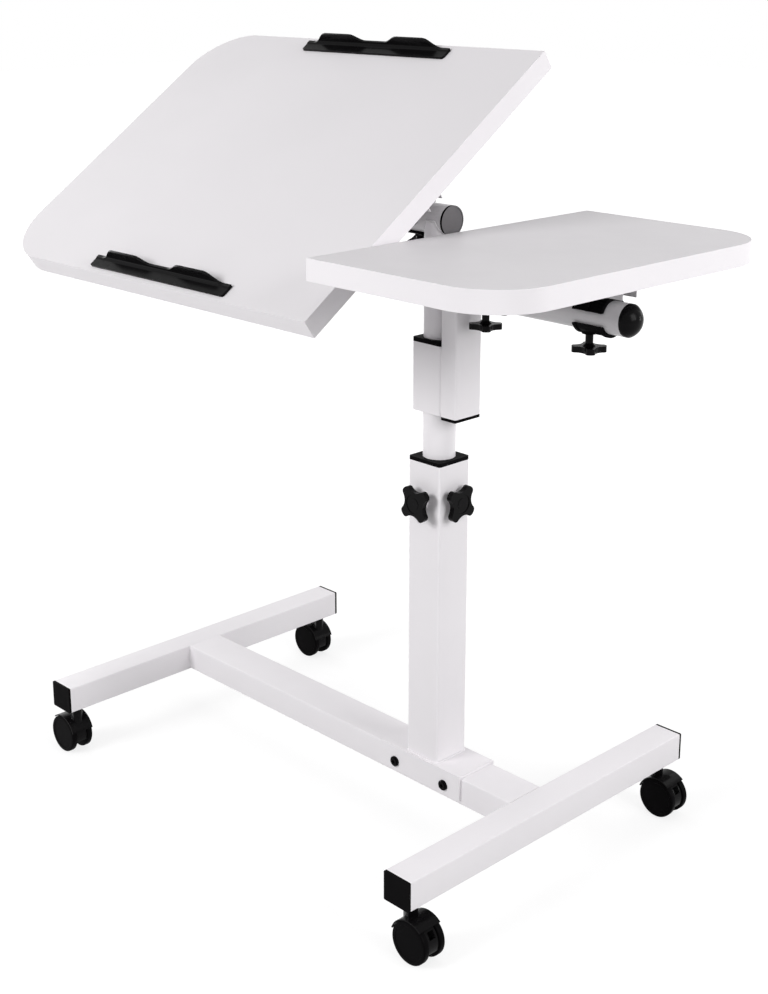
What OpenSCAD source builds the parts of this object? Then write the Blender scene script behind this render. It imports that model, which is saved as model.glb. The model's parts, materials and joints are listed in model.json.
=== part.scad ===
// Rolling computer desk: a tilting main panel and a small side tray on one swivelling pole.
// Millimetres. +Z is up, +X runs from the main panel to the side tray, and -Y is the user's side.
// The origin is on the floor, below the middle of the desk's outer box.

/* [Base] */
// Length of each foot tube, front to back, without its end caps
foot_l = 476; // [400:2:600]
// Width of the foot tubes
foot_w = 38; // [34:1:50]
// Height of the foot tubes
foot_h = 35; // [32:1:50]
// Wall of the foot tubes and of the crossbar
frame_wall = 1.5; // [1.2:0.1:2.5]
// Outer corner radius of the foot tubes and of the crossbar
frame_r = 1.5; // [1:0.5:5]
// Distance between the outer faces of the two feet
base_w = 677; // [560:1:800]
// From the pole's axis to the outer face of the right foot
foot_reach = 181; // [150:1:260]
// How far the pole's axis stands in front of the feet's middle
pole_forward = 13; // [0:1:40]
// Width of the crossbar
crossbar_w = 54; // [50:1:70]
// Height of the crossbar
crossbar_h = 34; // [28:1:35]
// Thickness of the flange on each foot end cap
foot_cap_t = 3; // [2:0.5:5]

/* [Casters] */
// Wheel diameter
wheel_d = 50; // [45:1:60]
// Width of one wheel
wheel_w = 8; // [7:0.5:11]
// Width over the two wheels of a caster
caster_w = 31.5; // [28:0.5:36]
// Distance from a caster's swivel axis to its axle
trail = 12; // [8:1:16]
// Height from the floor to the underside of the foot tubes
caster_h = 68; // [64:1:90]
// Diameter of the caster stem
stem_d = 9; // [7:0.5:10]
// Thickness of the caster hood's shell
hood_t = 1.5; // [1.2:0.1:3]
// Running gap between the wheels and the hood
wheel_gap = 0.6; // [0.4:0.1:1.2]
// Side of the square pocket in the housing between the wheels
pocket_s = 9; // [5:0.5:10]
// Diameter of the axle pin
axle_d = 6; // [5:0.5:8]
// Distance from the end of a foot tube to the caster's swivel axis
caster_inset = 19; // [16:1:60]

/* [Column] */
// Outer side of the square column tube
column_s = 50; // [48:1:60]
// Wall of the column tube
column_wall = 2; // [1.5:0.5:3]
// Length of the column tube
column_l = 373; // [331:2:461]
// Length of the saddle that holds the column on the crossbar
saddle_l = 134; // [124:2:170]
// Thickness of the saddle plate
saddle_t = 3; // [2:0.5:4]
// How far the saddle's sides reach down over the crossbar
saddle_drop = 28; // [24:1:28]
// Distance between the two saddle bolts
bolt_pitch = 82; // [76:1:110]
// Diameter of the saddle bolts
bolt_d = 8; // [6:1:10]
// Height of the bush flange on top of the column
bush_flange = 4.5; // [2:0.5:6]
// Depth of the bush inside the column
bush_depth = 25; // [15:1:30]
// Distance of the clamp screws below the column's top
clamp_drop = 46; // [40:1:70]

/* [Pole] */
// Diameter of the pole
pole_d = 38; // [36:0.5:39]
// Wall of the pole
pole_wall = 2; // [1.5:0.5:3]
// Length of the pole below the column's top
pole_sunk = 328; // [290:2:330]
// Height of the square guide plug under the pole
guide_h = 12; // [8:1:16]
// Height of the panel rail's axis above the column's top
panel_rail_up = 279.5; // [270:0.5:340]
// Height of the sleeve's lower end above the column's top
sleeve_up = 60; // [58:1:80]
// Outer side of the square sleeve that carries the tray
sleeve_s = 45; // [44:1:50]
// Wall of the sleeve
sleeve_wall = 2; // [1.5:0.5:2.5]
// Length of the sleeve
sleeve_l = 81; // [70:1:95]
// Thickness of the sleeve's bush rim
sleeve_rim = 5; // [3:0.5:6]

/* [Tray arm] */
// Width of the flat tray arm
arm_w = 23.5; // [18:0.5:30]
// Depth of the flat tray arm
arm_d = 42; // [34:1:44]
// Wall of the tray arm
arm_wall = 1.5; // [1.2:0.1:2.5]
// Thickness of the cap under the tray arm
arm_cap_t = 3.5; // [2:0.5:5]
// Height of the tray rail's axis above the column's top
tray_rail_up = 207; // [196:1:230]

/* [Rails and clamps] */
// Diameter of both rails
rail_d = 35; // [32:0.5:37]
// Wall of both rails
rail_wall = 1.5; // [1.5:0.1:2.5]
// Length of the panel rail to the left of the pole's axis
panel_rail_l = 398; // [370:2:460]
// Reach of the panel rail to the right of the pole's axis
panel_rail_r = 14.5; // [8:0.5:14.5]
// Thickness of the rails' flat end caps
rail_cap_t = 3; // [2:0.5:3]
// Length of the tray rail's domed end cap
dome_l = 14; // [8:1:18]
// Gap between a rail's top and the board above it
board_gap = 18.5; // [16:0.5:24]
// Width of the channel under each board
channel_w = 24; // [22:1:26]
// Thickness of the channel's steel
channel_t = 1.5; // [1.2:0.1:2.5]
// Depth of the channel
channel_h = 14; // [8:0.5:14]
// Length of the clamp jaws along the rail
jaw_l = 38; // [34:1:50]
// Thickness of the clamp jaws round the rail
jaw_t = 4; // [3:0.5:4]
// How far a clamp's stud lies left of the middle of its jaws
jaw_shift = 11; // [0:1:11]
// From the panel rail's left end to the middle of its left clamp
panel_clamp_in = 33.5; // [32:0.5:60]
// Gap between the pole and the main panel's right clamp
panel_clamp_gap = 2; // [1:0.5:20]
// Gap between the tray arm and the tray's left clamp
tray_clamp_gap = 15; // [4:0.5:24]
// From the tray's right clamp to the domed end cap
tray_clamp_in = 19.5; // [4:0.5:30]
// From the tip of the domed end cap to the tray's right edge
dome_in = 7; // [4:1:40]
// From a rail's axis down to the small clamp knobs
knob_drop = 34.5; // [30:0.5:44]
// Diameter of the small clamp knobs' studs
stud_d = 6; // [5:0.5:8]
// Diameter of the small clamp knobs
small_knob_d = 36.5; // [30:0.5:38]
// Thickness of the small clamp knobs
small_knob_t = 6.5; // [5:0.5:10]
// Diameter of the large star knobs
star_d = 46; // [38:1:50]
// Thickness of the large star knobs
star_t = 6.5; // [5:0.5:12]
// Distance from the column's front to the back of its star knob
front_knob_off = 10.5; // [7:0.5:16]
// Distance from the column's side to the back of its star knob
side_knob_off = 7; // [7:0.5:16]
// Turn of the front star knob as shown, in degrees
front_knob_turn = -5; // [-45:1:45]
// Turn of the side star knob as shown, in degrees
side_knob_turn = 6; // [-45:1:45]

/* [Boards] */
// Width of the main panel
panel_w = 586; // [500:2:680]
// Depth of both boards
board_d = 450; // [380:2:500]
// Thickness of both boards
board_t = 24; // [18:1:28]
// Corner radius of the main panel's left corners
panel_r = 75; // [40:1:100]
// Where the main panel ends, right of the pole's axis
panel_over = 16.5; // [0:0.5:17]
// Tilt of the main panel as shown, in degrees
panel_tilt = 35; // [0:1:55]
// How far the main panel's middle lies behind its rail
panel_back = 0; // [-10:1:15]
// Width of the side tray
tray_w = 264; // [230:1:320]
// Corner radius of the side tray's right corners
tray_r = 70; // [30:1:90]
// How far the side tray's middle lies behind its rail
tray_back = 6; // [-10:1:15]
// Gap between the pole and the side tray's edge
tray_gap = 1.5; // [1:0.5:4]

/* [Book ledges] */
// Length of each ledge
ledge_l = 253; // [201:2:301]
// Depth of each ledge's foot
ledge_d = 17; // [14:1:30]
// Thickness of the ledges
ledge_t = 3; // [2:0.5:4]
// Height of the two humps of a ledge
ledge_h = 17.5; // [14:0.5:34]
// Height of the dip between a ledge's humps
ledge_dip = 9; // [5:1:12]
// Height of a ledge at its ends
ledge_end = 4; // [3:0.5:8]
// Distance from the front ledge to the panel's front edge
front_ledge_in = 6.5; // [2:0.5:20]
// Distance from the back ledge to the panel's back edge
back_ledge_in = 9; // [0:0.5:20]
// Distance from the ledges' middle to the panel's right edge
ledge_from_right = 266.5; // [200:0.5:300]

/* [Hidden] */
$fn = 64;

white = "whitesmoke";
grey = "silver";
black = [0.12, 0.12, 0.13];
run = 0.05;      // radial clearance of a shaft that turns or slides
fit = 0.2;       // clearance of a plastic plug in its tube, each side
eps = 1;         // how far a cut runs past a face
tip_gap = 0.3;   // gap between a screw's tip and the pole it will press on
seat_gap = 0.1;  // gap between a clamp jaw and what stops it
hole_gap = 0.3;  // clearance of a screw in a plain hole

// heights
foot_z = caster_h;
foot_top = foot_z + foot_h;
saddle_top = foot_top + saddle_t;
column_top = saddle_top + column_l;
bolt_z = foot_top - crossbar_h / 2;
clamp_z = column_top - clamp_drop;
pole_z = column_top - pole_sunk;
panel_rail_z = column_top + panel_rail_up;
sleeve_z = column_top + sleeve_up;
tray_rail_z = column_top + tray_rail_up;

// places across the desk, measured from the pole's axis
rail_r = rail_d / 2;
board_lift = rail_r + board_gap;
panel_x1 = panel_over;
panel_x0 = panel_x1 - panel_w;
tray_x0 = pole_d / 2 + tray_gap;
tray_x1 = tray_x0 + tray_w;
foot_x1 = foot_reach;
foot_x0 = foot_reach - base_w;
left_foot_x = foot_x0 + foot_w / 2;
right_foot_x = foot_x1 - foot_w / 2;
foot_y0 = pole_forward - foot_l / 2;
foot_y1 = pole_forward + foot_l / 2;
caster_y = [foot_y0 + caster_inset, foot_y1 - caster_inset];
arm_x = sleeve_s / 2 + arm_w / 2;
arm_y = arm_d / 2 - sleeve_s / 2;
sleeve_screw_z = sleeve_z + sleeve_l / 2;
screw_r = 4;
boss_r = 8;
boss_h = 5;
knob_gap = 1;
cap_depth = 12;
cap_wall = 2;
foot_plug = 5;
stem_boss_h = 16;
stem_boss_wall = 3;
tray_rail_x0 = sleeve_s / 2 + rail_cap_t;
tray_rail_x1 = tray_x1 - dome_in - dome_l;
channel_margin = 6;
channel_inset = 12; // keeps the panel's channel out of sight behind the board's edge
panel_clamps = [-panel_rail_l + panel_clamp_in, -pole_d / 2 - panel_clamp_gap - jaw_l / 2];
tray_clamps = [arm_x + arm_w / 2 + tray_clamp_gap + jaw_l / 2, tray_rail_x1 - tray_clamp_in - jaw_l / 2];
// angles that the studs' slots in the rails allow, from the lowest to the highest tilt
panel_slot = [-2, 62];
tray_slot = [-32, 32];
stud_r = stud_d / 2;
stud_hub_r = stud_r + 1.2;
sleeve_knob_off = boss_h + 2;

// star knobs, as shares of their diameter
lobe_share = 0.27;
waist_share = 0.312;
corner_share = 0.098;
dish_share = 0.25;
button_share = 0.15;
hub_share = 0.22;

// clamp jaws: how far they reach round the rail, as shares of its radius
upper_reach = 0.37;
lower_reach = -0.46;
rib_w = 4;
rib_h = 1;

// middle of the outer box, as seen from the pole's axis
middle = [(panel_x0 + tray_x1) / 2, pole_forward, 0];

module placed() {
    translate(-middle) children();
}

// Points of an arc from angle a0 to a1 round the point c
function arc(c, r, a0, a1, n) =
    r <= 0 ? [c] : [for (i = [0:n]) c + r * [cos(a0 + (a1 - a0) * i / n), sin(a0 + (a1 - a0) * i / n)]];

// Rectangle with its middle at the origin and its own radius at each corner,
// in the order front left, front right, back right, back left
function round_rect(w, d, radii, n) = concat(
    arc([-w / 2 + radii[0], -d / 2 + radii[0]], radii[0], 180, 270, n),
    arc([w / 2 - radii[1], -d / 2 + radii[1]], radii[1], 270, 360, n),
    arc([w / 2 - radii[2], d / 2 - radii[2]], radii[2], 0, 90, n),
    arc([-w / 2 + radii[3], d / 2 - radii[3]], radii[3], 90, 180, n));

module bar(w, d, h, r) {
    linear_extrude(h) polygon(round_rect(w, d, [r, r, r, r], 5));
}

// Upright rectangular tube
module box_tube(w, d, h, wall, r) {
    difference() {
        bar(w, d, h, r);
        translate([0, 0, -eps]) bar(w - 2 * wall, d - 2 * wall, h + 2 * eps, max(r - wall, 0.5));
    }
}

// Cylinder along X, from x0 to x1
module rod_x(x0, x1, r) {
    translate([x0, 0, 0]) rotate([0, 90, 0]) cylinder(h = x1 - x0, r = r);
}

// Cylinder along Y, from y0 to y1
module rod_y(y0, y1, r) {
    translate([0, y1, 0]) rotate([90, 0, 0]) cylinder(h = y1 - y0, r = r);
}

// Foot tube with a welded threaded boss inside it for each caster stem
module foot_tube(x) {
    placed() difference() {
        union() {
            translate([x, foot_y0, foot_z + foot_h / 2]) rotate([-90, 0, 0])
                box_tube(foot_w, foot_h, foot_l, frame_wall, frame_r);
            for (y = caster_y) translate([x, y, foot_z + frame_wall / 2])
                cylinder(h = stem_boss_h, r = stem_d / 2 + stem_boss_wall);
        }
        for (y = caster_y) translate([x, y, foot_z - eps])
            cylinder(h = stem_boss_h + frame_wall + 2 * eps, r = stem_d / 2 + run);
    }
}

module left_foot_tube() {
    color(white) foot_tube(left_foot_x);
}

module right_foot_tube() {
    color(white) foot_tube(right_foot_x);
}

// Plastic cap: a flange over the tube's end and a hollow plug inside it
module foot_cap() {
    plug_w = foot_w - 2 * (frame_wall + fit);
    plug_h = foot_h - 2 * (frame_wall + fit);
    bar(foot_w, foot_h, foot_cap_t, frame_r);
    translate([0, 0, -foot_plug]) difference() {
        bar(plug_w, plug_h, foot_plug, 1);
        translate([0, 0, -eps]) bar(plug_w - 2 * cap_wall, plug_h - 2 * cap_wall, foot_plug, 1);
    }
}

module foot_end_caps() {
    color(black) placed() for (x = [left_foot_x, right_foot_x]) {
        translate([x, foot_y0, foot_z + foot_h / 2]) rotate([90, 0, 0]) foot_cap();
        translate([x, foot_y1, foot_z + foot_h / 2]) rotate([-90, 0, 0]) foot_cap();
    }
}

module crossbar() {
    x0 = foot_x0 + foot_w;
    bar_l = base_w - 2 * foot_w;
    color(white) placed() difference() {
        translate([x0, 0, bolt_z]) rotate([90, 0, 90])
            box_tube(crossbar_w, crossbar_h, bar_l, frame_wall, frame_r);
        for (x = [-bolt_pitch / 2, bolt_pitch / 2]) translate([x, 0, bolt_z])
            rod_y(-crossbar_w, crossbar_w, bolt_d / 2 + fit);
    }
}

// Folded plate over the crossbar, welded under the column
module column_saddle() {
    inner = crossbar_w / 2;
    outer = inner + saddle_t;
    drop_z = foot_top - saddle_drop;
    profile = [[-outer, drop_z], [-inner, drop_z], [-inner, foot_top], [inner, foot_top],
        [inner, drop_z], [outer, drop_z], [outer, saddle_top], [-outer, saddle_top]];
    color(white) placed() difference() {
        translate([-saddle_l / 2, 0, 0]) rotate([90, 0, 90]) linear_extrude(saddle_l) polygon(profile);
        for (x = [-bolt_pitch / 2, bolt_pitch / 2]) translate([x, 0, bolt_z])
            rod_y(-outer - eps, outer + eps, bolt_d / 2 + fit);
    }
}

// Two button-head bolts with a hexagon socket
module saddle_bolts() {
    outer = crossbar_w / 2 + saddle_t;
    head_r = 0.8 * bolt_d;
    head_h = 3.5;
    color(black) placed() for (x = [-bolt_pitch / 2, bolt_pitch / 2]) translate([x, 0, bolt_z]) {
        rod_y(-outer, outer + 9, bolt_d / 2);
        translate([0, -outer, 0]) rotate([90, 0, 0]) difference() {
            union() {
                cylinder(h = head_h * 0.6, r = head_r);
                cylinder(h = head_h, r = head_r * 0.75);
            }
            translate([0, 0, head_h * 0.4]) cylinder(h = head_h, r = bolt_d * 0.32, $fn = 6);
        }
    }
}

module saddle_nuts() {
    outer = crossbar_w / 2 + saddle_t;
    color(grey) placed() for (x = [-bolt_pitch / 2, bolt_pitch / 2]) translate([x, outer, bolt_z])
        rotate([-90, 0, 0]) difference() {
            cylinder(h = 6.5, r = 0.92 * bolt_d, $fn = 6);
            translate([0, 0, -eps]) cylinder(h = 9, r = bolt_d / 2 + run);
        }
}

module column_tube() {
    color(white) placed() difference() {
        translate([0, 0, saddle_top]) box_tube(column_s, column_s, column_l, column_wall, 3);
        translate([0, 0, clamp_z]) rod_y(-column_s, 0, screw_r + hole_gap);
        translate([0, 0, clamp_z]) rod_x(0, column_s, screw_r + hole_gap);
    }
}

// Guide bush: a square plug in the column with a round bore for the pole
module column_bush() {
    plug = column_s - 2 * (column_wall + fit);
    color(black) placed() translate([0, 0, column_top]) difference() {
        union() {
            bar(column_s, column_s, bush_flange, 3);
            translate([0, 0, -bush_depth]) bar(plug, plug, bush_depth, 1);
        }
        translate([0, 0, -bush_depth - eps])
            cylinder(h = bush_depth + bush_flange + 2 * eps, r = pole_d / 2 + run);
    }
}

// Threaded boss that a clamp screw runs in, standing up from the origin
module threaded_boss() {
    difference() {
        cylinder(h = boss_h, r = boss_r);
        translate([0, 0, -eps]) cylinder(h = boss_h + 2 * eps, r = screw_r + run);
    }
}

// Outline of a star knob: four lobes on the diagonals with round scoops between them.
// The lobes end on the circle of diameter d, and their corners are rounded by the radius f.
function turned(p, a) = [p.x * cos(a) - p.y * sin(a), p.x * sin(a) + p.y * cos(a)];
function star_outline(d, lobe_w, waist, f) =
    let (r = d / 2,
        corner = r * cos(45 - asin(lobe_w / d)),
        scoop_x = (r * r - waist * waist) / (2 * (corner - waist)),
        scoop_r = scoop_x - waist,
        f_angle = acos((pow(r - f, 2) + pow(scoop_x, 2) - pow(scoop_r + f, 2)) / (2 * (r - f) * scoop_x)),
        f_mid = (r - f) * [cos(f_angle), sin(f_angle)],
        f_start = atan2(-f_mid.y, scoop_x - f_mid.x),
        scoop_end = atan2(f_mid.y, f_mid.x - scoop_x),
        f_mid_2 = [f_mid.y, f_mid.x],
        quarter = concat(arc([scoop_x, 0], scoop_r, 360 - scoop_end, scoop_end, 8),
            arc(f_mid, f, f_start + 10, f_angle, 3),
            arc([0, 0], r, f_angle + 2, 88 - f_angle, 3),
            arc(f_mid_2, f, 90 - f_angle, 80 - f_start, 3)))
    [for (k = [0:3]) each [for (p = quarter) turned(p, 90 * k)]];

// Star knob standing up from the origin, with a shallow dish and a button in its front
module star_knob(d, t) {
    dish = 0.8;
    difference() {
        linear_extrude(t) polygon(star_outline(d, lobe_share * d, waist_share * d, corner_share * d));
        translate([0, 0, t - dish]) cylinder(h = t, r = dish_share * d);
    }
    translate([0, 0, t - 2 * dish]) cylinder(h = 1.5 * dish, r = button_share * d);
}

// Star knob over a threaded boss: its back lies at the height off, on a round hub
module clamp_knob(d, t, off, turn) {
    hub_z = boss_h + knob_gap;
    translate([0, 0, hub_z]) cylinder(h = off - hub_z, r = hub_share * d);
    translate([0, 0, off]) rotate([0, 0, turn]) star_knob(d, t);
}

// Screw from a knob's hub down to just before the pole
module clamp_screw(wall_x) {
    tip = -(wall_x - pole_d / 2 - tip_gap);
    translate([0, 0, tip]) cylinder(h = boss_h + knob_gap - tip, r = screw_r);
}

// Frames of the two column clamps: the screw points at the pole, the knob stands outwards
module at_front_clamp() {
    placed() translate([0, -column_s / 2, clamp_z]) rotate([90, 0, 0]) children();
}

module at_side_clamp() {
    placed() translate([column_s / 2, 0, clamp_z]) rotate([0, 90, 0]) children();
}

module column_bosses() {
    color(white) {
        at_front_clamp() threaded_boss();
        at_side_clamp() threaded_boss();
    }
}

module front_knob() {
    color(black) at_front_clamp() clamp_knob(star_d, star_t, front_knob_off, front_knob_turn);
}

module front_knob_screw() {
    color(grey) at_front_clamp() clamp_screw(column_s / 2);
}

module side_knob() {
    color(black) at_side_clamp() clamp_knob(star_d, star_t, side_knob_off, side_knob_turn);
}

module side_knob_screw() {
    color(grey) at_side_clamp() clamp_screw(column_s / 2);
}

// Square plug that slides in the column, with a round spigot on which the pole turns
module pole_guide() {
    plug = column_s - 2 * (column_wall + fit);
    spigot_h = 30;
    color(black) placed() translate([0, 0, pole_z]) {
        translate([0, 0, -guide_h]) bar(plug, plug, guide_h, 1);
        cylinder(h = spigot_h, r = pole_d / 2 - pole_wall - run);
    }
}

// Pole: its top is cut round the panel rail, which is welded into it
module pole() {
    pole_l = panel_rail_z - pole_z;
    bore_r = pole_d / 2 - pole_wall;
    color(white) placed() difference() {
        translate([0, 0, pole_z]) cylinder(h = pole_l, r = pole_d / 2);
        translate([0, 0, pole_z - eps]) cylinder(h = pole_l + 2 * eps, r = bore_r);
        translate([0, 0, panel_rail_z]) rod_x(-pole_d, pole_d, rail_r + run);
    }
}

// Slot round a rail for a clamp's stud, through both walls, from tilt a0 to a1
module tilt_slot(a0, a1) {
    slot_gap = 0.4;
    half_w = stud_r + slot_gap;
    spread = asin(half_w / rail_r);
    for (side = [90, 270]) rotate([side + a0 - spread, 0, 0]) rotate([0, 90, 0]) rotate([0, 0, 90])
        rotate_extrude(angle = a1 - a0 + 2 * spread) translate([rail_r - rail_wall - eps, -half_w])
            square([rail_wall + 2 * eps, 2 * half_w]);
}

module rail(x0, x1, clamps, slot) {
    difference() {
        rod_x(x0, x1, rail_r);
        rod_x(x0 - eps, x1 + eps, rail_r - rail_wall);
        for (x = clamps) translate([x - jaw_shift, 0, 0]) tilt_slot(slot[0], slot[1]);
    }
}

module panel_rail() {
    color(grey) placed() translate([0, 0, panel_rail_z])
        rail(-panel_rail_l, panel_rail_r, panel_clamps, panel_slot);
}

// Flat cap on a rail's end, pointing along +X, with a face that lies a little deeper than its rim
module rail_cap() {
    plug_r = rail_r - rail_wall - fit;
    rim_w = 1.6;
    rim_h = 0.5;
    difference() {
        rod_x(0, rail_cap_t, rail_r);
        rod_x(rail_cap_t - rim_h, rail_cap_t + eps, rail_r - rim_w);
    }
    difference() {
        rod_x(-cap_depth, 0, plug_r);
        rod_x(-cap_depth - eps, -cap_wall, plug_r - cap_wall);
    }
}

module panel_rail_caps() {
    color(black) placed() translate([0, 0, panel_rail_z]) {
        translate([panel_rail_r, 0, 0]) rail_cap();
        translate([-panel_rail_l, 0, 0]) mirror([1, 0, 0]) rail_cap();
    }
}

module sleeve_tube() {
    color(white) placed() difference() {
        translate([0, 0, sleeve_z]) box_tube(sleeve_s, sleeve_s, sleeve_l, sleeve_wall, 3);
        translate([0, 0, sleeve_screw_z]) rod_y(0, sleeve_s, screw_r + hole_gap);
    }
}

// Two guide bushes: the upper one has a rim, the lower one is flush
module sleeve_bushes() {
    plug = sleeve_s - 2 * (sleeve_wall + fit);
    plug_h = 18;
    color(black) placed() difference() {
        union() {
            translate([0, 0, sleeve_z + sleeve_l]) bar(sleeve_s, sleeve_s, sleeve_rim, 3);
            translate([0, 0, sleeve_z + sleeve_l - plug_h]) bar(plug, plug, plug_h, 1);
            translate([0, 0, sleeve_z]) bar(plug, plug, plug_h, 1);
        }
        translate([0, 0, sleeve_z - eps])
            cylinder(h = sleeve_l + sleeve_rim + 2 * eps, r = pole_d / 2 + run);
    }
}

module at_sleeve_clamp() {
    placed() translate([0, sleeve_s / 2, sleeve_screw_z]) rotate([-90, 0, 0]) children();
}

module sleeve_boss() {
    color(white) at_sleeve_clamp() threaded_boss();
}

module sleeve_knob() {
    color(black) at_sleeve_clamp() clamp_knob(small_knob_d, small_knob_t, sleeve_knob_off, 0);
}

module sleeve_knob_screw() {
    color(grey) at_sleeve_clamp() clamp_screw(sleeve_s / 2);
}

// Flat tube beside the sleeve, cut round the rail that it carries
module tray_arm() {
    arm_top = tray_rail_z - rail_r / 2;
    color(white) placed() difference() {
        translate([arm_x, arm_y, sleeve_z]) box_tube(arm_w, arm_d, arm_top - sleeve_z, arm_wall, 2.5);
        translate([0, 0, tray_rail_z]) rod_x(0, 3 * arm_x, rail_r + run);
    }
}

module tray_arm_cap() {
    plug_w = arm_w - 2 * (arm_wall + fit);
    plug_d = arm_d - 2 * (arm_wall + fit);
    color(black) placed() translate([arm_x, arm_y, sleeve_z]) {
        translate([0, 0, -arm_cap_t]) bar(arm_w, arm_d, arm_cap_t, 2.5);
        difference() {
            bar(plug_w, plug_d, cap_depth, 1);
            translate([0, 0, cap_wall]) bar(plug_w - 2 * cap_wall, plug_d - 2 * cap_wall, cap_depth, 1);
        }
    }
}

module tray_rail() {
    color(grey) placed() translate([0, 0, tray_rail_z])
        rail(tray_rail_x0, tray_rail_x1, tray_clamps, tray_slot);
}

module tray_rail_plug() {
    color(black) placed() translate([tray_rail_x0, 0, tray_rail_z]) mirror([1, 0, 0]) rail_cap();
}

// Domed cap: a short collar and a cap of a sphere on a hollow plug
module tray_rail_dome() {
    collar = 3;
    rise = dome_l - collar;
    sphere_r = (rail_r * rail_r + rise * rise) / (2 * rise);
    plug_r = rail_r - rail_wall - fit;
    color(black) placed() translate([tray_rail_x1, 0, tray_rail_z]) {
        rotate([0, 90, 0]) rotate_extrude() polygon(concat([[0, 0], [rail_r, 0]],
            arc([0, dome_l - sphere_r], sphere_r, 90 - asin(rail_r / sphere_r), 90, 10)));
        difference() {
            rod_x(-cap_depth, 0, plug_r);
            rod_x(-cap_depth - eps, -cap_wall, plug_r - cap_wall);
        }
    }
}

// Frames of the boards: the origin is on the rail's axis, +Z is square to the board
module at_panel() {
    placed() translate([0, 0, panel_rail_z]) rotate([panel_tilt, 0, 0]) children();
}

module at_tray() {
    placed() translate([0, 0, tray_rail_z]) children();
}

module panel_board() {
    color(white) at_panel() translate([(panel_x0 + panel_x1) / 2, panel_back, board_lift])
        linear_extrude(board_t) polygon(round_rect(panel_w, board_d, [panel_r, 0, 0, panel_r], 20));
}

module tray_board() {
    color(white) at_tray() translate([(tray_x0 + tray_x1) / 2, tray_back, board_lift])
        linear_extrude(board_t) polygon(round_rect(tray_w, board_d, [0, tray_r, tray_r, 0], 20));
}

// Channel of folded steel against the board, open downwards
module channel(x0, x1) {
    half = channel_w / 2;
    low = board_lift - channel_h;
    web = board_lift - channel_t;
    inner = half - channel_t;
    profile = [[-half, low], [-inner, low], [-inner, web], [inner, web], [inner, low], [half, low],
        [half, board_lift], [-half, board_lift]];
    translate([x0, 0, 0]) rotate([90, 0, 90]) linear_extrude(x1 - x0) polygon(profile);
}

module panel_channel() {
    color(grey) at_panel() channel(-panel_rail_l + channel_margin, panel_x1 - channel_inset);
}

module tray_channel() {
    color(grey) at_tray() channel(tray_x0 + channel_margin, tray_rail_x1);
}

// Ring of a jaw round the rail, with a raised rib at each of the places in ribs
module jaw_ring(x, ribs) {
    ring_r = rail_r + jaw_t - rib_h;
    rod_x(x - jaw_l / 2, x + jaw_l / 2, ring_r);
    for (s = ribs) translate([x + s * (jaw_l - rib_w) / 2, 0, 0])
        rod_x(-rib_w / 2, rib_w / 2, ring_r + rib_h);
}

// Upper jaw: a saddle over the rail, a neck in the channel, three ribs and a blind hole for the stud
module upper_jaw(x) {
    neck = channel_w - 2 * (channel_t + fit);
    rib_r = rail_r + jaw_t;
    edge_z = upper_reach * rail_r;
    neck_z = rail_r / 2;
    top = board_lift - channel_t;
    cover = 3;
    difference() {
        union() {
            intersection() {
                jaw_ring(x, [-1, 0, 1]);
                translate([x - jaw_l, -rib_r - eps, edge_z])
                    cube([2 * jaw_l, 2 * rib_r + 2 * eps, board_lift - channel_h - edge_z - seat_gap]);
            }
            translate([x - jaw_l / 2, -neck / 2, neck_z]) cube([jaw_l, neck, top - neck_z]);
        }
        rod_x(x - jaw_l, x + jaw_l, rail_r + run);
        translate([x - jaw_shift, 0, 0]) cylinder(h = top - cover, r = stud_r + run);
    }
}

// Lower jaw: a cradle under the rail with end ribs and a hole for the stud
module lower_jaw(x) {
    rib_r = rail_r + jaw_t;
    pad_r = stud_r + 5;
    edge_z = lower_reach * rail_r;
    difference() {
        intersection() {
            union() {
                jaw_ring(x, [-1, 1]);
                translate([x - jaw_shift, 0, -rib_r]) cylinder(h = rib_r, r = pad_r);
            }
            translate([x - jaw_l, -rib_r - eps, -rib_r - eps])
                cube([2 * jaw_l, 2 * rib_r + 2 * eps, rib_r + eps + edge_z]);
        }
        rod_x(x - jaw_l, x + jaw_l, rail_r + run);
        translate([x - jaw_shift, 0, -rib_r - eps]) cylinder(h = rib_r, r = stud_r + run);
    }
}

// Small knob under a clamp: its moulded stem bears on the lower jaw, and its stud runs through
// the rail into the upper jaw
module stem_knob(x) {
    stud_top = board_lift - channel_t - 4;
    stem_top = -rail_r - jaw_t - seat_gap;
    foot_h = 3;
    translate([x - jaw_shift, 0, 0]) {
        translate([0, 0, stem_top]) cylinder(h = stud_top - stem_top, r = stud_r);
        translate([0, 0, -knob_drop]) cylinder(h = knob_drop + stem_top, r = stud_hub_r);
        translate([0, 0, -knob_drop]) cylinder(h = foot_h, r1 = stud_hub_r + foot_h, r2 = stud_hub_r);
        translate([0, 0, -knob_drop]) rotate([180, 0, 0]) star_knob(small_knob_d, small_knob_t);
    }
}

module panel_upper_jaws() {
    color(black) at_panel() for (x = panel_clamps) upper_jaw(x);
}

module panel_lower_jaws() {
    color(black) at_panel() for (x = panel_clamps) lower_jaw(x);
}

module panel_knob_left() {
    color(black) at_panel() stem_knob(panel_clamps[0]);
}

module panel_knob_right() {
    color(black) at_panel() stem_knob(panel_clamps[1]);
}

module tray_upper_jaws() {
    color(black) at_tray() for (x = tray_clamps) upper_jaw(x);
}

module tray_lower_jaws() {
    color(black) at_tray() for (x = tray_clamps) lower_jaw(x);
}

module tray_knob_left() {
    color(black) at_tray() stem_knob(tray_clamps[0]);
}

module tray_knob_right() {
    color(black) at_tray() stem_knob(tray_clamps[1]);
}

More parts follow.
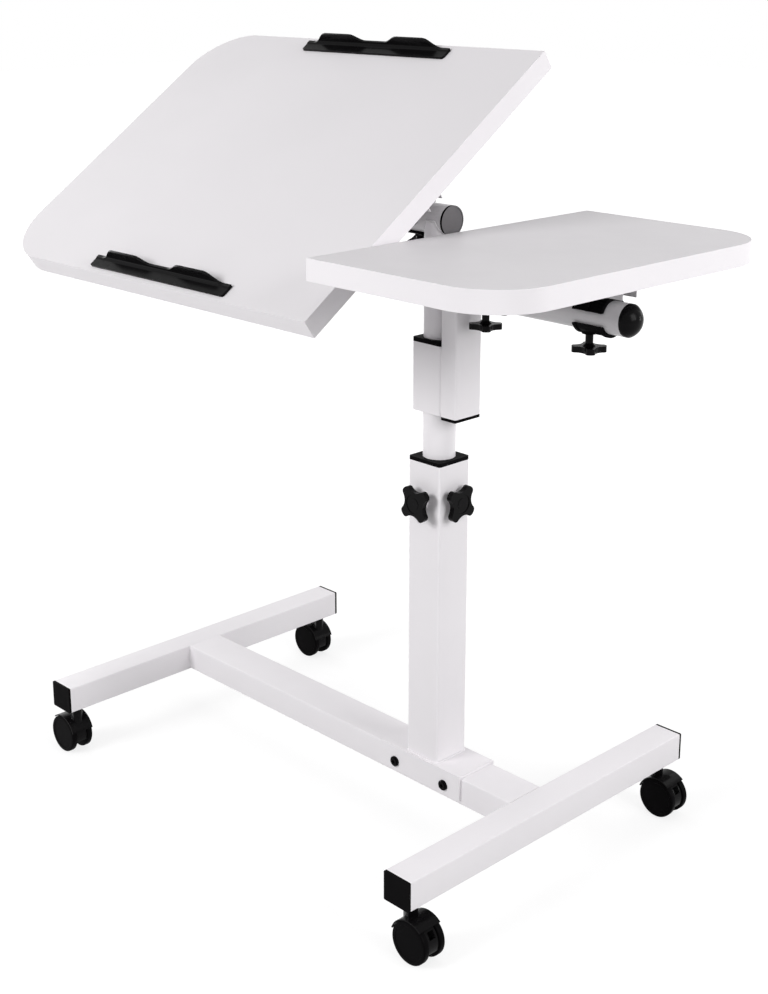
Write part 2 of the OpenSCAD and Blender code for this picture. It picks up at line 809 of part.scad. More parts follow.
// Height of a ledge's wall at the distance u from its middle, as a share of half its length:
// a low dip in the middle, a flat hump, and a fall to the low end
hump = [0.14, 0.33, 0.70, 0.885];
function smooth(a, b, u) = let (v = min(max((u - a) / (b - a), 0), 1)) v * v * (3 - 2 * v);
function ledge_wall(u) = ledge_dip + (ledge_h - ledge_dip) * smooth(hump[0], hump[1], u)
    - (ledge_h - ledge_end) * smooth(hump[2], hump[3], u);

// Book ledge: a foot on the panel and a wavy wall at its back, with a hollow between them
module book_ledge() {
    half = ledge_l / 2;
    steps = 52;
    corner = 3;
    hollow = 4;
    wall_y = ledge_d - ledge_t;
    side = concat([[0, 0], [ledge_d, 0], [ledge_d, ledge_h + eps], [wall_y, ledge_h + eps]],
        arc([wall_y - hollow, ledge_t + hollow], hollow, 0, -90, 5), [[0, ledge_t]]);
    front = concat([[-half, 0]],
        [for (i = [0:steps]) let (t = 2 * i / steps - 1) [t * half, ledge_wall(abs(t))]], [[half, 0]]);
    intersection() {
        translate([-half, 0, 0]) rotate([90, 0, 90]) linear_extrude(ledge_l) polygon(side);
        translate([0, ledge_d, 0]) rotate([90, 0, 0]) linear_extrude(ledge_d) polygon(front);
        translate([0, ledge_d / 2, 0]) linear_extrude(ledge_h + eps)
            polygon(round_rect(ledge_l, ledge_d, [corner, corner, 0, 0], 3));
    }
}

// The ledge stands with its front edge at the depth y behind the panel's front edge
module ledge_at(y) {
    at_panel() translate([panel_x1 - ledge_from_right, panel_back - board_d / 2 + y, board_lift + board_t])
        book_ledge();
}

module front_book_ledge() {
    color(black) ledge_at(front_ledge_in);
}

module back_book_ledge() {
    color(black) ledge_at(board_d - back_ledge_in - ledge_d);
}

// Frame of a caster: the origin is on the floor below its stem, and the wheels trail towards +X
module at_caster(side, end) {
    x = side < 0 ? left_foot_x : right_foot_x;
    placed() translate([x, caster_y[end], 0]) rotate([0, 0, side < 0 ? 180 : 0]) children();
}

axle_z = wheel_d / 2;
hood_r = wheel_d / 2 + wheel_gap + hood_t;
hood_span = [50, 162];
housing_w = caster_w - 2 * (wheel_w + wheel_gap);
housing_r = wheel_d / 2 - 2;
housing_drop = 8;
pocket_angle = 33;
swivel_r = 8;
swivel_z = axle_z + housing_r / 2;
collar_h = 5;
socket_top = foot_z - collar_h - hole_gap;
socket_depth = 20;
hub_cover = 1.5;
wheel_ring_w = 3;
wheel_ring_h = 0.6;

// Stem with its collar, screwed up through the foot tube
module caster_stem() {
    stem_z = socket_top - socket_depth + tip_gap;
    color(grey) {
        translate([0, 0, stem_z]) cylinder(h = foot_z + stem_boss_h + 6 - stem_z, r = stem_d / 2);
        translate([0, 0, foot_z - collar_h]) cylinder(h = collar_h, r = stem_d / 2 + stem_boss_wall);
    }
}

// Part of a disc round the axle, between the radii r0 and r1 and over the hood's span
module hood_sector(r0, r1, w) {
    rotate([90, 0, 0]) rotate([0, 0, hood_span[0]]) rotate_extrude(angle = hood_span[1] - hood_span[0])
        translate([r0, -w / 2]) square([r1 - r0, w]);
}

// Hood: a curved cover over both wheels, a housing between them with a pocket in its outer side,
// and the neck that turns on the stem
module caster_hood() {
    rough_w = housing_w + 2 * eps; // the wheels' spaces trim the housing and the cover inside
    color(black) difference() {
        union() {
            translate([trail, 0, axle_z]) {
                hood_sector(hood_r - hood_t - eps, hood_r, caster_w);
                hood_sector(axle_d, hood_r - hood_t / 2, rough_w);
                intersection() {
                    rod_y(-rough_w / 2, rough_w / 2, housing_r);
                    translate([-hood_r, -caster_w, -housing_drop])
                        cube([2 * hood_r, 2 * caster_w, 2 * hood_r]);
                }
            }
            translate([0, 0, swivel_z]) cylinder(h = socket_top - swivel_z, r = swivel_r);
        }
        translate([trail, 0, axle_z]) {
            rod_y(-caster_w, caster_w, axle_d / 2 + run);
            for (s = [-1, 1]) translate([0, s * (housing_w + caster_w) / 2, 0])
                rod_y(-caster_w / 2, caster_w / 2, hood_r - hood_t);
            rotate([0, -pocket_angle, 0]) translate([housing_r - pocket_s, -pocket_s / 2, -pocket_s / 2])
                cube([2 * pocket_s, pocket_s, pocket_s]);
        }
        translate([0, 0, socket_top - socket_depth]) cylinder(h = socket_depth + eps, r = stem_d / 2 + run);
    }
}

// Two wheels with a rounded tread, a ring round the outer face and a blind bore for the axle
module caster_wheels() {
    r = wheel_d / 2;
    edge = 1.5;
    bore = axle_d / 2 + run;
    face = wheel_w - wheel_ring_h;
    ring_r = r - edge - wheel_ring_w;
    profile = concat([[bore, 0], [r - edge, 0]], arc([r - edge, edge], edge, -90, 0, 3),
        arc([r - edge, wheel_w - edge], edge, 0, 90, 3),
        [[ring_r, wheel_w], [ring_r - wheel_ring_h, face], [0, face], [0, face - hub_cover],
        [bore, face - hub_cover]]);
    color(black) for (s = [0, 180]) translate([trail, 0, axle_z]) rotate([0, 0, s])
        translate([0, -(caster_w / 2 - wheel_w), 0]) rotate([90, 0, 0]) rotate_extrude() polygon(profile);
}

module caster_axle() {
    end = caster_w / 2 - wheel_ring_h - hub_cover - tip_gap;
    color(grey) translate([trail, 0, axle_z]) rod_y(-end, end, axle_d / 2);
}

module front_left_stem() { at_caster(-1, 0) caster_stem(); }
module front_left_hood() { at_caster(-1, 0) caster_hood(); }
module front_left_wheels() { at_caster(-1, 0) caster_wheels(); }
module front_left_axle() { at_caster(-1, 0) caster_axle(); }
module front_right_stem() { at_caster(1, 0) caster_stem(); }
module front_right_hood() { at_caster(1, 0) caster_hood(); }
module front_right_wheels() { at_caster(1, 0) caster_wheels(); }
module front_right_axle() { at_caster(1, 0) caster_axle(); }
module rear_left_stem() { at_caster(-1, 1) caster_stem(); }
module rear_left_hood() { at_caster(-1, 1) caster_hood(); }
module rear_left_wheels() { at_caster(-1, 1) caster_wheels(); }
module rear_left_axle() { at_caster(-1, 1) caster_axle(); }
module rear_right_stem() { at_caster(1, 1) caster_stem(); }
module rear_right_hood() { at_caster(1, 1) caster_hood(); }
module rear_right_wheels() { at_caster(1, 1) caster_wheels(); }
module rear_right_axle() { at_caster(1, 1) caster_axle(); }

left_foot_tube();
right_foot_tube();
foot_end_caps();
crossbar();
column_saddle();
saddle_bolts();
saddle_nuts();
column_tube();
column_bush();
column_bosses();
front_knob();
front_knob_screw();
side_knob();
side_knob_screw();
pole_guide();
pole();
panel_rail();
panel_rail_caps();
sleeve_tube();
sleeve_bushes();
sleeve_boss();
sleeve_knob();
sleeve_knob_screw();
tray_arm();
tray_arm_cap();
tray_rail();
tray_rail_dome();
tray_rail_plug();
panel_board();
panel_channel();
panel_upper_jaws();
panel_lower_jaws();
panel_knob_left();
panel_knob_right();
front_book_ledge();
back_book_ledge();
tray_board();
tray_channel();
tray_upper_jaws();
tray_lower_jaws();
tray_knob_left();
tray_knob_right();
front_left_stem();
front_left_hood();
front_left_wheels();
front_left_axle();
front_right_stem();
front_right_hood();
front_right_wheels();
front_right_axle();
rear_left_stem();
rear_left_hood();
rear_left_wheels();
rear_left_axle();
rear_right_stem();
rear_right_hood();
rear_right_wheels();
rear_right_axle();
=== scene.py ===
"""Looks of the rolling computer desk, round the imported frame.

Finishes and rounded edges for the CAD pieces, weld beads and screws made here, studio and camera.
"""
import json
import math

import bmesh
import bpy
from mathutils import Matrix, Vector


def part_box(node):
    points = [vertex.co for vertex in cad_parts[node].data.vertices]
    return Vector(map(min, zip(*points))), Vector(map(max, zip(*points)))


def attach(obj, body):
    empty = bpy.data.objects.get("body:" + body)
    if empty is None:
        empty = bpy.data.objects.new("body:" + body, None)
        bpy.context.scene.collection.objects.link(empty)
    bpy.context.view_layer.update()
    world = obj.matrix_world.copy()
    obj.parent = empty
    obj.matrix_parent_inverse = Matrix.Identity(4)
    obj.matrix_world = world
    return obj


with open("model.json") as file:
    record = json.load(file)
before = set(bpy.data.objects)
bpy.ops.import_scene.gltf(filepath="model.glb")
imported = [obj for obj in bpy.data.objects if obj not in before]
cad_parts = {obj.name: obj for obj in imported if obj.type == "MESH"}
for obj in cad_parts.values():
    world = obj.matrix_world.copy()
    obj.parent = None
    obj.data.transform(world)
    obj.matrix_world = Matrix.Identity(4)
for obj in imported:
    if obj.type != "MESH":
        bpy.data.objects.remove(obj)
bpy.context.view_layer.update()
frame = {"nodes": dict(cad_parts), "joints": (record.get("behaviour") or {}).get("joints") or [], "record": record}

NODES = frame["nodes"]
MM = 0.001

# Camera: pixels of the 768 by 994 frame, and metres
IMAGE_H = 994
SENSOR_MM = 36.0
FOCAL_PX = 1587.7
OPTICAL_AXIS_Y_PX = 400
AZIMUTH = math.radians(45.89)
ELEVATION = math.radians(15.60)
CAMERA_AT = Vector((1.3584, -1.2806, 1.0399))

# Colours, linear
WHITE_PAINT = (0.83, 0.807, 0.83)
WHITE_LAMINATE = (0.74, 0.72, 0.74)
# The tray's laminate is the panel's white laminate made darker: painted shade that stands in for the shadow of the
# panel above the tray
TRAY_LAMINATE_PAINTED_SHADE = (0.70, 0.681, 0.70)
EDGE_BAND = (0.87, 0.846, 0.87)
GREY_PAINT = (0.67, 0.655, 0.67)
BLACK = (0.0036, 0.0033, 0.0037)
HOUSING_BLACK = (0.02, 0.0195, 0.0205)
DARK_GREY = (0.115, 0.109, 0.115)
ZINC = (0.60, 0.60, 0.62)
AMBIENT_COLOR = (1.0, 0.995, 1.0)

# Studio: metres, and watts for the lamps
AMBIENT_STRENGTH = 0.36
FLOOR_SIZE = 24
FLOOR_LIT = 0.5
FLOOR_SHADED = 0.30
GLOW_RADII = (0.7, 2.0)
GLOW_STRENGTHS = (0.76, 1.0)
LIGHT_TARGET = Vector((0, 0, 0.55))
LIGHTS = {
    "key_light": {"at": (-0.7, -3.1, 1.9), "width": 1.4, "height": 1.4, "power": 73},
    "fill_light": {"at": (3.1, 0.3, 1.7), "width": 1.6, "height": 1.6, "power": 55},
    "top_light": {"at": (0.2, 0.0, 3.2), "width": 2.4, "height": 2.4, "power": 3.5},
    "left_light": {"at": (-3.0, 0.5, 1.4), "width": 2.0, "height": 2.0, "power": 20},
    "rear_light": {"at": (0.2, 3.4, 1.8), "width": 2.0, "height": 2.0, "power": 24},
    "rim_light": {"at": (2.3, 2.9, 0.75), "width": 0.35, "height": 0.8, "power": 10},
}

# Cosines above which a face counts as facing a direction, roughly or squarely
FACING = 0.5
SQUARE_ON = 0.9

CORNERS = ("front_left", "front_right", "rear_left", "rear_right")


def joint(name):
    return next(j for j in frame["joints"] if j["name"] == name)


def center_z(node):
    lo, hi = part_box(node)
    return (lo.z + hi.z) / 2


PANEL_TILT = -math.radians(joint("panel_tilt")["range_deg"][0])
BOARD_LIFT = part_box("tray_board")[0].z - center_z("tray_rail")


# Materials

class Shader:
    """A node material under construction: a Principled shader and the links into it."""

    def __init__(self, name, color, roughness, metallic=0.0):
        self.material = bpy.data.materials.new(name)
        self.material.use_nodes = True
        self.tree = self.material.node_tree
        self.principled = self.tree.nodes["Principled BSDF"]
        self.set("Base Color", (*color, 1))
        self.set("Roughness", roughness)
        self.set("Metallic", metallic)
        self.color = color
        self.relief = None
        self.place = self.node("ShaderNodeTexCoord").outputs["Object"]

    def set(self, socket, value):
        self.principled.inputs[socket].default_value = value

    def node(self, kind, **settings):
        made = self.tree.nodes.new(kind)
        for key, value in settings.items():
            setattr(made, key, value)
        return made

    def link(self, source, target):
        self.tree.links.new(source, target)

    def noise(self, scale, detail=2.0, stretch=(1, 1, 1)):
        """Noise over the object's own coordinates, in cells per metre."""
        mapping = self.node("ShaderNodeMapping")
        mapping.inputs["Scale"].default_value = stretch
        self.link(self.place, mapping.inputs["Vector"])
        made = self.node("ShaderNodeTexNoise")
        made.inputs["Scale"].default_value = scale
        made.inputs["Detail"].default_value = detail
        self.link(mapping.outputs["Vector"], made.inputs["Vector"])
        return made.outputs["Fac"]

    def spread(self, value, low, high, from_low=0.3, from_high=0.7):
        """The value's range from_low to from_high, spread over low to high."""
        made = self.node("ShaderNodeMapRange")
        set_range(made, (from_low, from_high), (low, high))
        self.link(value, made.inputs["Value"])
        return made.outputs["Result"]

    def tint(self, value, darkest, brightest):
        """Multiplies the base colour by a share that follows the value."""
        made = self.node("ShaderNodeVectorMath", operation="SCALE")
        made.inputs[0].default_value = self.color
        self.link(self.spread(value, darkest, brightest), made.inputs["Scale"])
        self.link(made.outputs["Vector"], self.principled.inputs["Base Color"])

    def vary_roughness(self, value, low, high):
        self.link(self.spread(value, low, high), self.principled.inputs["Roughness"])

    def bump(self, value, depth_mm, strength):
        """Adds relief; each call stacks on the one before."""
        made = self.node("ShaderNodeBump")
        made.inputs["Distance"].default_value = depth_mm * MM
        made.inputs["Strength"].default_value = strength
        self.link(value, made.inputs["Height"])
        if self.relief is not None:
            self.link(self.relief, made.inputs["Normal"])
        self.relief = made.outputs["Normal"]
        self.link(self.relief, self.principled.inputs["Normal"])


def set_range(node, source, target):
    """Fills the four limits of a Map Range node."""
    for socket, number in zip(("From Min", "From Max", "To Min", "To Max"), source + target):
        node.inputs[socket].default_value = number


def powder_coat(name, color, roughness):
    """Sprayed and baked paint: a fine orange peel, with hardly any change of tone."""
    s = Shader(name, color, roughness)
    s.set("Specular IOR Level", 0.35)
    s.tint(s.noise(9, 3), 0.975, 1.01)
    s.vary_roughness(s.noise(60, 3), roughness - 0.05, roughness + 0.06)
    s.bump(s.noise(420, 2), 0.10, 0.35)
    s.bump(s.noise(2600, 1), 0.02, 0.4)
    return s.material


def laminate(name, color, roughness):
    """White melamine: smooth and satin, with hardly any change of tone or sheen."""
    s = Shader(name, color, roughness)
    s.set("Specular IOR Level", 0.15)
    s.tint(s.noise(5, 2), 0.985, 1.01)
    s.vary_roughness(s.noise(30, 4), roughness - 0.03, roughness + 0.05)
    s.bump(s.noise(900, 2), 0.004, 0.4)
    return s.material


def grained_plastic(name, color, roughness, grain_mm, specular):
    """Moulded plastic with a spark-eroded grain."""
    s = Shader(name, color, roughness)
    s.set("Specular IOR Level", specular)
    s.tint(s.noise(25, 3), 0.85, 1.15)
    s.vary_roughness(s.noise(180, 3), roughness - 0.06, roughness + 0.08)
    s.bump(s.noise(1500, 3), grain_mm, 0.5)
    return s.material


def zinc_plate(name):
    s = Shader(name, ZINC, 0.32, metallic=1.0)
    s.tint(s.noise(90, 3), 0.9, 1.08)
    s.vary_roughness(s.noise(300, 3), 0.24, 0.42)
    s.bump(s.noise(1200, 2, stretch=(1, 1, 0.2)), 0.02, 0.4)
    return s.material


MATERIALS = {
    "white_paint": powder_coat("white_powder_coat", WHITE_PAINT, 0.38),
    "grey_paint": powder_coat("grey_powder_coat", GREY_PAINT, 0.34),
    "white_laminate": laminate("white_laminate", WHITE_LAMINATE, 0.42),
    "black_steel": grained_plastic("black_oxide", BLACK, 0.4, grain_mm=0.02, specular=0.04),
    "zinc_steel": zinc_plate("zinc_plate"),
    "black_plastic": grained_plastic("black_plastic", BLACK, 0.42, grain_mm=0.04, specular=0.012),
    "black_gloss_plastic": grained_plastic(
        "black_semi_gloss_plastic", BLACK, 0.2, grain_mm=0.01, specular=0.06),
    "dark_grey_plastic": grained_plastic(
        "dark_grey_plastic", DARK_GREY, 0.45, grain_mm=0.04, specular=0.3),
    "caster_wheel": grained_plastic("caster_nylon", BLACK, 0.36, grain_mm=0.03, specular=0.014),
}
# Painted shade: a darker copy of the white laminate for the tray, in place of the shadow the panel casts on it
TRAY_FACE_PAINTED_SHADE_MATERIAL = laminate("white_laminate_tray_painted_shade", TRAY_LAMINATE_PAINTED_SHADE, 0.42)
EDGE_BAND_MATERIAL = laminate("white_edge_band", EDGE_BAND, 0.45)
HOUSING_MATERIAL = grained_plastic(
    "caster_housing", HOUSING_BLACK, 0.22, grain_mm=0.01, specular=0.6)
HOUSING_INSET = 2 * MM


def paint_faces(name, material, wanted):
    """Gives some faces of a CAD node, picked by their middle and normal, a second finish."""
    mesh = NODES[name].data
    mesh.materials.append(material)
    for polygon in mesh.polygons:
        if wanted(polygon.center, polygon.normal):
            polygon.material_index = len(mesh.materials) - 1


def finish_nodes():
    """Gives each CAD node the finish of its material slot."""
    slots = {row["node"]: row["material_slot"] for row in frame["record"]["subparts"]}
    for name, node in NODES.items():
        node.data.materials.clear()
        node.data.materials.append(MATERIALS[slots[name]])

    panel_up = Vector((0, -math.sin(PANEL_TILT), math.cos(PANEL_TILT)))
    paint_faces("panel_board", EDGE_BAND_MATERIAL,
                lambda at, normal: abs(normal.dot(panel_up)) < FACING)
    # Painted shade: the tray's top and bottom faces take the darker copy of the laminate
    paint_faces("tray_board", TRAY_FACE_PAINTED_SHADE_MATERIAL, lambda at, normal: abs(normal.z) >= FACING)
    paint_faces("tray_board", EDGE_BAND_MATERIAL, lambda at, normal: abs(normal.z) < FACING)
    paint_faces("panel_rail_caps", MATERIALS["black_plastic"],
                lambda at, normal: abs(normal.x) < SQUARE_ON)
    for corner in CORNERS:
        lo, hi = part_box(corner + "_hood")
        half = (hi.y - lo.y) / 2 - HOUSING_INSET
        middle = (lo.y + hi.y) / 2
        paint_faces(corner + "_hood", HOUSING_MATERIAL,
                    lambda at, normal: abs(normal.y) > SQUARE_ON and abs(at.y - middle) < half)


# Rounded edges

NODES_BY_EDGE_MM = {
    1.2: ("panel_board", "tray_board"),
    0.8: ("front_knob", "side_knob", "sleeve_knob", "tray_arm_cap"),
    0.7: ("panel_knob_left", "panel_knob_right", "tray_knob_left", "tray_knob_right"),
    0.6: ("front_book_ledge", "back_book_ledge", "panel_upper_jaws", "panel_lower_jaws",
          "tray_upper_jaws", "tray_lower_jaws", "column_bush", "sleeve_bushes", "panel_rail_caps",
          "tray_rail_plug"),
    0.5: tuple(corner + "_hood" for corner in CORNERS),
    0.4: ("saddle_bolts",),
    0.3: ("foot_end_caps", "crossbar", "left_foot_tube", "right_foot_tube", "column_tube",
          "tray_arm", "sleeve_tube", "panel_channel", "tray_channel"),
}
EDGE_MM = {name: width for width, names in NODES_BY_EDGE_MM.items() for name in names}
SHARP = math.radians(32)
WELD_DISTANCE = 1e-6


def shade(mesh):
    """Smooth curves, in place of the imported normals and sharp edges."""
    for attribute in ("custom_normal", "sharp_edge", "sharp_face"):
        if attribute in mesh.attributes:
            mesh.attributes.remove(mesh.attributes[attribute])
    mesh.polygons.foreach_set("use_smooth", [True] * len(mesh.polygons))


def soften_edges():
    """Rounds the corners of the CAD nodes by the radius that each real piece has."""
    for name, node in NODES.items():
        node.modifiers.new("joined", "WELD").merge_threshold = WELD_DISTANCE
        if name in EDGE_MM:
            bevel = node.modifiers.new("edges", "BEVEL")
            bevel.width = EDGE_MM[name] * MM
            bevel.segments = 2
            bevel.limit_method = "ANGLE"
            bevel.angle_limit = SHARP
            bevel.miter_outer = "MITER_ARC"
            bevel.face_strength_mode = "FSTR_ALL"
            flats = node.modifiers.new("flats", "WEIGHTED_NORMAL")
            flats.mode = "CORNER_ANGLE"
            flats.use_face_influence = True
        else:
            node.modifiers.new("sharp", "EDGE_SPLIT").split_angle = SHARP
        shade(node.data)


# Pieces made here

def add_piece(name, mesh, material, body):
    piece = bpy.data.objects.new(name, mesh)
    bpy.context.scene.collection.objects.link(piece)
    mesh.materials.append(MATERIALS[material])
    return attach(piece, body)


def finished_mesh(name, bm):
    """Mesh of a bmesh, which is freed."""
    mesh = bpy.data.meshes.new(name)
    bm.to_mesh(mesh)
    bm.free()
    return mesh


def add_band(bm, low, high):
    """Quads between two rings of vertices."""
    count = len(low)
    for k in range(count):
        bm.faces.new((low[k], low[(k + 1) % count], high[(k + 1) % count], high[k]))


# Weld beads: their section, then the lengths left free below and above the upright ones
BEAD_R = 1.3 * MM
THIN_BEAD_R = 1.2 * MM
BEAD_SIDES = 8
BEAD_STEP = 2 * MM
BEAD_RIPPLE = 0.07
RIPPLE_TURN = 2.1
COLUMN_CORNER_R = 3 * MM
POLE_WELD_POINTS = 72
CROSSBAR_FREE = (2.5 * MM, 3 * MM)
ARM_FREE = (3 * MM, 2 * MM)
ARM_BEAD_INSET = 2.2 * MM


def sweep(paths, radius):
    """Mesh of rippled beads along paths; each path is (points, closed)."""
    bm = bmesh.new()
    turns = [2 * math.pi * k / BEAD_SIDES for k in range(BEAD_SIDES)]
    for points, closed in paths:
        count = len(points)
        rings = []
        for i, point in enumerate(points):
            before = points[i - 1] if i or closed else points[i]
            after = points[(i + 1) % count] if i < count - 1 or closed else points[i]
            along = (after - before).normalized()
            side = along.orthogonal().normalized()
            up = along.cross(side)
            r = radius * (1 + BEAD_RIPPLE * math.sin(i * RIPPLE_TURN))
            ring = [point + side * (r * math.cos(t)) + up * (r * math.sin(t)) for t in turns]
            if rings:
                nearest = min(range(BEAD_SIDES), key=lambda k: (ring[k] - rings[-1][0]).length)
                ring = ring[nearest:] + ring[:nearest]
            rings.append(ring)
        verts = [[bm.verts.new(p) for p in ring] for ring in rings]
        for i in range(count if closed else count - 1):
            add_band(bm, verts[i], verts[(i + 1) % count])
        if not closed:
            bm.faces.new(reversed(verts[0]))
            bm.faces.new(verts[-1])
    bmesh.ops.recalc_face_normals(bm, faces=bm.faces)
    mesh = finished_mesh("bead", bm)
    mesh.polygons.foreach_set("use_smooth", [True] * len(mesh.polygons))
    return mesh


def line(a, b):
    """Points from a to b, about a bead's step apart."""
    a, b = Vector(a), Vector(b)
    count = max(2, int((b - a).length / BEAD_STEP))
    return [a.lerp(b, i / count) for i in range(count + 1)]


def rounded_loop(lo, hi, z, r):
    """A closed loop round the rectangle from lo to hi at height z, with corners of radius r."""
    points = []
    corners = [(hi.x - r, hi.y - r, 0), (lo.x + r, hi.y - r, 90),
               (lo.x + r, lo.y + r, 180), (hi.x - r, lo.y + r, 270)]
    for x, y, start in corners:
        arc = [math.radians(start + a) for a in (0, 30, 60, 90)]
        corner = [Vector((x + r * math.cos(a), y + r * math.sin(a), z)) for a in arc]
        if points:
            points += line(points[-1], corner[0])[1:-1]
        points += corner
    return points + line(points[-1], points[0])[1:-1]


def column_weld():
    lo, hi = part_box("column_tube")
    return sweep([(rounded_loop(lo, hi, lo.z, COLUMN_CORNER_R), True)], BEAD_R)


def crossbar_welds():
    """Upright beads at both sides of the crossbar's ends."""
    lo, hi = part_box("crossbar")
    low, high = lo.z + CROSSBAR_FREE[0], hi.z - CROSSBAR_FREE[1]
    beads = [(line((x, y, high), (x, y, low)), False) for x in (lo.x, hi.x) for y in (lo.y, hi.y)]
    return sweep(beads, THIN_BEAD_R)


def arm_weld():
    """Two upright beads between the sleeve's side and the arm."""
    sleeve_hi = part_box("sleeve_tube")[1]
    arm_lo, arm_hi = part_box("tray_arm")
    low, high = arm_lo.z + ARM_FREE[0], sleeve_hi.z - ARM_FREE[1]
    beads = [(line((sleeve_hi.x, y, low), (sleeve_hi.x, y, high)), False)
             for y in (arm_lo.y + ARM_BEAD_INSET, arm_hi.y)]
    return sweep(beads, BEAD_R)


def pole_weld():
    """The curve on which the round pole meets the round rail across its top."""
    pole_lo, pole_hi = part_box("pole")
    rail_lo, rail_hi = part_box("panel_rail")
    middle = (pole_lo + pole_hi) / 2
    pole_r = (pole_hi.x - pole_lo.x) / 2
    rail_r = (rail_hi.z - rail_lo.z) / 2
    points = []
    for k in range(POLE_WELD_POINTS):
        turn = 2 * math.pi * k / POLE_WELD_POINTS
        x, y = pole_r * math.cos(turn), pole_r * math.sin(turn)
        drop = math.sqrt(max(0, rail_r ** 2 - y ** 2))
        points.append(Vector((middle.x + x, middle.y + y, center_z("panel_rail") - drop)))
    return sweep([(points, True)], THIN_BEAD_R)


def make_welds():
    """Painted weld beads where the tubes of the frame meet."""
    add_piece("column_weld", column_weld(), "white_paint", "base")
    add_piece("crossbar_welds", crossbar_welds(), "white_paint", "base")
    add_piece("arm_weld", arm_weld(), "white_paint", "arm")
    add_piece("pole_weld", pole_weld(), "grey_paint", "mast")


# Channel screws: the profile and the cross are in shares of the head's radius and height
HEAD_R = 4 * MM
HEAD_H = 2.4 * MM
HEAD_SIDES = 24
HEAD_PROFILE = ((1.0, 0.0), (1.0, 0.35), (0.9, 0.72), (0.68, 0.93), (0.4, 1.0))
CROSS_R = 0.4
CROSS_WAIST = 0.35
CROSS_TAPER = 0.8
CROSS_RIM, CROSS_FLOOR = 0.98, 0.4
CHANNEL_STEEL = 1.5 * MM


def pan_head():
    """Cross-recessed pan head, standing up from the origin."""
    bm = bmesh.new()

    def ring(shares, height):
        """Vertices round the axis, at shares of the head's radius and height."""
        made = []
        for k, share in enumerate(shares):
            turn = 2 * math.pi * k / HEAD_SIDES
            made.append(bm.verts.new((HEAD_R * share * math.cos(turn),
                                      HEAD_R * share * math.sin(turn), HEAD_H * height)))
        return made

    rings = [ring([share] * HEAD_SIDES, height) for share, height in HEAD_PROFILE]
    cross = [CROSS_R * (1 if k % 6 in (5, 0, 1) else CROSS_WAIST) for k in range(HEAD_SIDES)]
    rings.append(ring(cross, CROSS_RIM))
    rings.append(ring([share * CROSS_TAPER for share in cross], CROSS_FLOOR))
    for low, high in zip(rings, rings[1:]):
        add_band(bm, low, high)
    bm.faces.new(rings[-1])
    bm.faces.new(reversed(rings[0]))
    bmesh.ops.recalc_face_normals(bm, faces=bm.faces)
    return finished_mesh("screw_head", bm)


def copies(name, mesh, matrices):
    """One mesh of the mesh's copies at the matrices."""
    bm = bmesh.new()
    for matrix in matrices:
        part = mesh.copy()
        part.transform(matrix)
        bm.from_mesh(part)
        bpy.data.meshes.remove(part)
    return finished_mesh(name, bm)


def rail_frame(rail, tilt):
    """Frame of a board: the origin is on its rail's axis, and +Z is square to the board."""
    lo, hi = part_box(rail)
    axis = Matrix.Translation((0, (lo.y + hi.y) / 2, (lo.z + hi.z) / 2))
    return axis @ Matrix.Rotation(tilt, 4, "X")


def make_channel_screws():
    """Pan-head screws that hold each board to its channel, seen from below."""
    head = pan_head()
    face_down = Matrix.Rotation(math.pi, 4, "X")
    for name, rail, tilt, body, shares in (
        ("panel_channel", "panel_rail", PANEL_TILT, "panel", (0.2, 0.5, 0.8)),
        ("tray_channel", "tray_rail", 0, "tray", (0.45, 0.92)),
    ):
        lo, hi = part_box(name)
        base = rail_frame(rail, tilt)
        spots = []
        for share in shares:
            at = (lo.x + share * (hi.x - lo.x), 0, BOARD_LIFT - CHANNEL_STEEL)
            spots.append(base @ Matrix.Translation(at) @ face_down)
        mesh = copies(name + "_screws", head, spots)
        add_piece(name + "_screws", mesh, "zinc_steel", body)


# Studio

def studio_mix(tree, seen, unseen):
    """Shader seen by the camera and in reflections, and another one that lights the scene."""
    path = tree.nodes.new("ShaderNodeLightPath")
    either = path.outputs["Is Camera Ray"]
    for socket in ("Is Glossy Ray", "Is Transmission Ray"):
        most = tree.nodes.new("ShaderNodeMath")
        most.operation = "MAXIMUM"
        tree.links.new(either, most.inputs[0])
        tree.links.new(path.outputs[socket], most.inputs[1])
        either = most.outputs[0]
    mix = tree.nodes.new("ShaderNodeMixShader")
    tree.links.new(either, mix.inputs[0])
    tree.links.new(unseen, mix.inputs[1])
    tree.links.new(seen, mix.inputs[2])
    return mix.outputs[0]


def colored(tree, kind, color):
    """Shader node of the kind, with its colour set."""
    made = tree.nodes.new(kind)
    made.inputs["Color"].default_value = (*color, 1)
    return made


def make_world():
    """White to the eye and in reflections, and a dimmer ambient light on the object."""
    world = bpy.data.worlds.new("studio")
    bpy.context.scene.world = world
    world.use_nodes = True
    tree = world.node_tree
    tree.nodes.clear()
    seen = colored(tree, "ShaderNodeBackground", (1, 1, 1))
    seen.inputs["Strength"].default_value = 1.0
    light = colored(tree, "ShaderNodeBackground", AMBIENT_COLOR)
    light.inputs["Strength"].default_value = AMBIENT_STRENGTH
    out = tree.nodes.new("ShaderNodeOutputWorld")
    mix = studio_mix(tree, seen.outputs[0], light.outputs[0])
    tree.links.new(mix, out.inputs["Surface"])


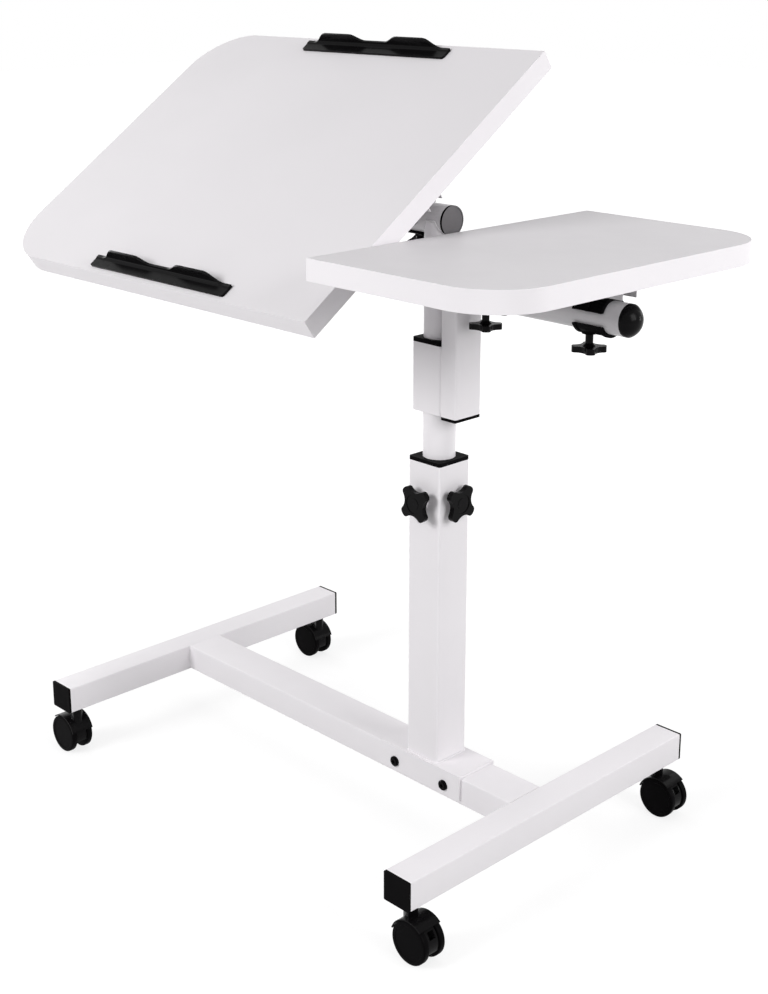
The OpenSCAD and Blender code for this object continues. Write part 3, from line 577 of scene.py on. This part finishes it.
def make_floor():
    """White floor that keeps the object's shadow: it glows less near the middle."""
    bpy.ops.mesh.primitive_plane_add(size=FLOOR_SIZE, location=(0, 0, 0))
    floor = bpy.context.object
    floor.name = "studio_floor"
    material = bpy.data.materials.new("studio_floor")
    material.use_nodes = True
    tree = material.node_tree
    tree.nodes.clear()
    plain = colored(tree, "ShaderNodeBsdfDiffuse", [FLOOR_LIT] * 3)
    shadowed = colored(tree, "ShaderNodeBsdfDiffuse", [FLOOR_SHADED] * 3)
    glow = tree.nodes.new("ShaderNodeEmission")
    place = tree.nodes.new("ShaderNodeTexCoord")
    radius = tree.nodes.new("ShaderNodeVectorMath")
    radius.operation = "LENGTH"
    fade = tree.nodes.new("ShaderNodeMapRange")
    set_range(fade, GLOW_RADII, GLOW_STRENGTHS)
    tree.links.new(place.outputs["Object"], radius.inputs[0])
    tree.links.new(radius.outputs["Value"], fade.inputs["Value"])
    tree.links.new(fade.outputs["Result"], glow.inputs["Strength"])
    both = tree.nodes.new("ShaderNodeAddShader")
    tree.links.new(shadowed.outputs[0], both.inputs[0])
    tree.links.new(glow.outputs[0], both.inputs[1])
    out = tree.nodes.new("ShaderNodeOutputMaterial")
    mix = studio_mix(tree, both.outputs[0], plain.outputs[0])
    tree.links.new(mix, out.inputs["Surface"])
    floor.data.materials.append(material)


def make_lights():
    """Soft boxes round the object, all aimed at its middle."""
    for name, light in LIGHTS.items():
        data = bpy.data.lights.new(name, "AREA")
        data.shape = "RECTANGLE"
        data.size, data.size_y = light["width"], light["height"]
        data.energy = light["power"]
        lamp = bpy.data.objects.new(name, data)
        bpy.context.scene.collection.objects.link(lamp)
        lamp.location = light["at"]
        aim = LIGHT_TARGET - Vector(light["at"])
        lamp.rotation_euler = aim.to_track_quat("-Z", "Y").to_euler()


def make_camera():
    data = bpy.data.cameras.new("camera")
    data.sensor_width = SENSOR_MM
    data.lens = FOCAL_PX / IMAGE_H * SENSOR_MM
    data.shift_y = (OPTICAL_AXIS_Y_PX - IMAGE_H / 2) / IMAGE_H
    data.clip_start, data.clip_end = 0.05, 50
    camera = bpy.data.objects.new("camera", data)
    bpy.context.scene.collection.objects.link(camera)
    level = math.cos(ELEVATION)
    back = Vector((math.sin(AZIMUTH) * level, -math.cos(AZIMUTH) * level, math.sin(ELEVATION)))
    camera.location = CAMERA_AT
    camera.rotation_euler = (-back).to_track_quat("-Z", "Y").to_euler()
    bpy.context.scene.camera = camera


make_camera()
finish_nodes()
soften_edges()
make_welds()
make_channel_screws()
make_world()
make_floor()
make_lights()
bpy.context.scene.view_settings.view_transform = "Standard"
